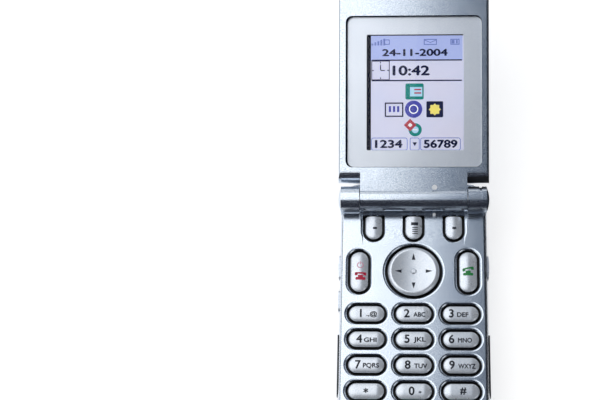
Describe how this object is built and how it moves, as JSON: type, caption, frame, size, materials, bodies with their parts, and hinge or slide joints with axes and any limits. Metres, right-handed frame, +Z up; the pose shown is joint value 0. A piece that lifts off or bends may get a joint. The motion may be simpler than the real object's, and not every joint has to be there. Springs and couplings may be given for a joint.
{
  "type": "flip phone",
  "caption": "Clamshell mobile phone lying open on its back: keypad half, barrel hinge and lid with a display, with pressing keys and a sliding battery door.",
  "frame": {"origin": "on the surface the phone lies on, straight below the hinge axis, in the middle of its width", "axes": "+X to the right of the keypad, +Y from the keypad towards the opened lid, +Z up out of the keypad"},
  "size_m": [0.0478, 0.1535, 0.0453],
  "materials": {
    "silver_shell": "satin silver paint on moulded plastic",
    "key_silver": "glossy silver-grey plastic",
    "rubber": "matt dark grey rubber",
    "silicone": "translucent white silicone",
    "lens": "clear hard-coated acrylic with a silver border",
    "dark_lens": "dark tinted acrylic",
    "display": "lit liquid crystal display",
    "steel": "bright steel",
    "grille_metal": "satin",
    "battery_pack": "dark grey plastic",
    "contact_gold": "gold plated",
    "circuit_board": "green solder mask",
    "flex_film": "amber polyimide film"
  },
  "bodies": {
    "base": {"base_front_housing": "silver_shell", "base_rear_housing": "silver_shell", "battery": "battery_pack", "battery_contacts": "contact_gold", "main_board": "circuit_board", "shield_cans": "steel", "keypad_mat": "silicone", "key_domes": "steel", "microphone": "steel", "vibration_motor": "steel", "bottom_connector": "rubber", "antenna": "contact_gold", "side_switches": "steel", "side_grip_left": "rubber", "side_grip_right": "rubber", "base_bumper": "rubber", "base_screws": "steel", "hinge_pin_right": "steel", "hinge_cap_left": "silver_shell", "hinge_cap_right": "silver_shell", "hinge_cam_shaft": "steel"},
    "lid": {"lid_front_housing": "silver_shell", "lid_rear_housing": "silver_shell", "main_lens": "lens", "main_lcd": "display", "lid_board": "circuit_board", "earpiece_speaker": "steel", "earpiece_grille": "grille_metal", "sub_display_lens": "dark_lens", "sub_lcd": "display", "lid_bumpers": "rubber", "lid_screws": "steel", "hinge_cam_sleeve": "steel", "hinge_spring": "steel", "hinge_flex": "flex_film"},
    "battery_door": {"battery_door": "silver_shell"},
    "key_1": {"key_1": "key_silver"},
    "key_2": {"key_2": "key_silver"},
    "key_3": {"key_3": "key_silver"},
    "key_4": {"key_4": "key_silver"},
    "key_5": {"key_5": "key_silver"},
    "key_6": {"key_6": "key_silver"},
    "key_7": {"key_7": "key_silver"},
    "key_8": {"key_8": "key_silver"},
    "key_9": {"key_9": "key_silver"},
    "key_star": {"key_star": "key_silver"},
    "key_0": {"key_0": "key_silver"},
    "key_hash": {"key_hash": "key_silver"},
    "softkey_left": {"softkey_left": "key_silver"},
    "menu_key": {"menu_key": "key_silver"},
    "softkey_right": {"softkey_right": "key_silver"},
    "end_key": {"end_key": "key_silver"},
    "send_key": {"send_key": "key_silver"},
    "nav_actuator": {"nav_actuator": "rubber"},
    "nav_key": {"nav_key": "key_silver"},
    "volume_up_key": {"volume_up_key": "key_silver"},
    "volume_down_key": {"volume_down_key": "key_silver"},
    "voice_key": {"voice_key": "key_silver"}
  },
  "joints": [
    {"name": "lid_hinge", "type": "hinge", "parent": "base", "child": "lid", "pos_m": [0, 0, 0.0167], "axis": [1, 0, 0], "range_deg": [0, 160]},
    {"name": "door_slide", "type": "slide", "parent": "base", "child": "battery_door", "axis": [0, -1, 0], "range_m": [0, 0.008]},
    {"name": "key_1_press", "type": "slide", "parent": "base", "child": "key_1", "axis": [0, 0, -1], "range_m": [0, 0.00035], "stiffness_N_per_m": 600, "springref_m": -0.0005},
    {"name": "key_2_press", "type": "slide", "parent": "base", "child": "key_2", "axis": [0, 0, -1], "range_m": [0, 0.00035], "stiffness_N_per_m": 600, "springref_m": -0.0005},
    {"name": "key_3_press", "type": "slide", "parent": "base", "child": "key_3", "axis": [0, 0, -1], "range_m": [0, 0.00035], "stiffness_N_per_m": 600, "springref_m": -0.0005},
    {"name": "key_4_press", "type": "slide", "parent": "base", "child": "key_4", "axis": [0, 0, -1], "range_m": [0, 0.00035], "stiffness_N_per_m": 600, "springref_m": -0.0005},
    {"name": "key_5_press", "type": "slide", "parent": "base", "child": "key_5", "axis": [0, 0, -1], "range_m": [0, 0.00035], "stiffness_N_per_m": 600, "springref_m": -0.0005},
    {"name": "key_6_press", "type": "slide", "parent": "base", "child": "key_6", "axis": [0, 0, -1], "range_m": [0, 0.00035], "stiffness_N_per_m": 600, "springref_m": -0.0005},
    {"name": "key_7_press", "type": "slide", "parent": "base", "child": "key_7", "axis": [0, 0, -1], "range_m": [0, 0.00035], "stiffness_N_per_m": 600, "springref_m": -0.0005},
    {"name": "key_8_press", "type": "slide", "parent": "base", "child": "key_8", "axis": [0, 0, -1], "range_m": [0, 0.00035], "stiffness_N_per_m": 600, "springref_m": -0.0005},
    {"name": "key_9_press", "type": "slide", "parent": "base", "child": "key_9", "axis": [0, 0, -1], "range_m": [0, 0.00035], "stiffness_N_per_m": 600, "springref_m": -0.0005},
    {"name": "key_star_press", "type": "slide", "parent": "base", "child": "key_star", "axis": [0, 0, -1], "range_m": [0, 0.00035], "stiffness_N_per_m": 600, "springref_m": -0.0005},
    {"name": "key_0_press", "type": "slide", "parent": "base", "child": "key_0", "axis": [0, 0, -1], "range_m": [0, 0.00035], "stiffness_N_per_m": 600, "springref_m": -0.0005},
    {"name": "key_hash_press", "type": "slide", "parent": "base", "child": "key_hash", "axis": [0, 0, -1], "range_m": [0, 0.00035], "stiffness_N_per_m": 600, "springref_m": -0.0005},
    {"name": "softkey_left_press", "type": "slide", "parent": "base", "child": "softkey_left", "axis": [0, 0, -1], "range_m": [0, 0.00035], "stiffness_N_per_m": 600, "springref_m": -0.0005},
    {"name": "menu_key_press", "type": "slide", "parent": "base", "child": "menu_key", "axis": [0, 0, -1], "range_m": [0, 0.00035], "stiffness_N_per_m": 600, "springref_m": -0.0005},
    {"name": "softkey_right_press", "type": "slide", "parent": "base", "child": "softkey_right", "axis": [0, 0, -1], "range_m": [0, 0.00035], "stiffness_N_per_m": 600, "springref_m": -0.0005},
    {"name": "end_key_press", "type": "slide", "parent": "base", "child": "end_key", "axis": [0, 0, -1], "range_m": [0, 0.00035], "stiffness_N_per_m": 600, "springref_m": -0.0005},
    {"name": "send_key_press", "type": "slide", "parent": "base", "child": "send_key", "axis": [0, 0, -1], "range_m": [0, 0.00035], "stiffness_N_per_m": 600, "springref_m": -0.0005},
    {"name": "nav_rock_up_down", "type": "hinge", "parent": "base", "child": "nav_actuator", "pos_m": [0, -0.02305, 0.01125], "axis": [1, 0, 0], "range_deg": [-2.5, 2.5], "stiffness_Nm_per_rad": 0.05},
    {"name": "nav_rock_left_right", "type": "hinge", "parent": "nav_actuator", "child": "nav_key", "pos_m": [0, -0.02305, 0.01125], "axis": [0, 1, 0], "range_deg": [-2.5, 2.5], "stiffness_Nm_per_rad": 0.05},
    {"name": "volume_up_key_press", "type": "slide", "parent": "base", "child": "volume_up_key", "axis": [1, 0, 0], "range_m": [0, 0.0004], "stiffness_N_per_m": 600, "springref_m": -0.0005},
    {"name": "volume_down_key_press", "type": "slide", "parent": "base", "child": "volume_down_key", "axis": [1, 0, 0], "range_m": [0, 0.0004], "stiffness_N_per_m": 600, "springref_m": -0.0005},
    {"name": "voice_key_press", "type": "slide", "parent": "base", "child": "voice_key", "axis": [-1, 0, 0], "range_m": [0, 0.0004], "stiffness_N_per_m": 600, "springref_m": -0.0005}
  ]
}
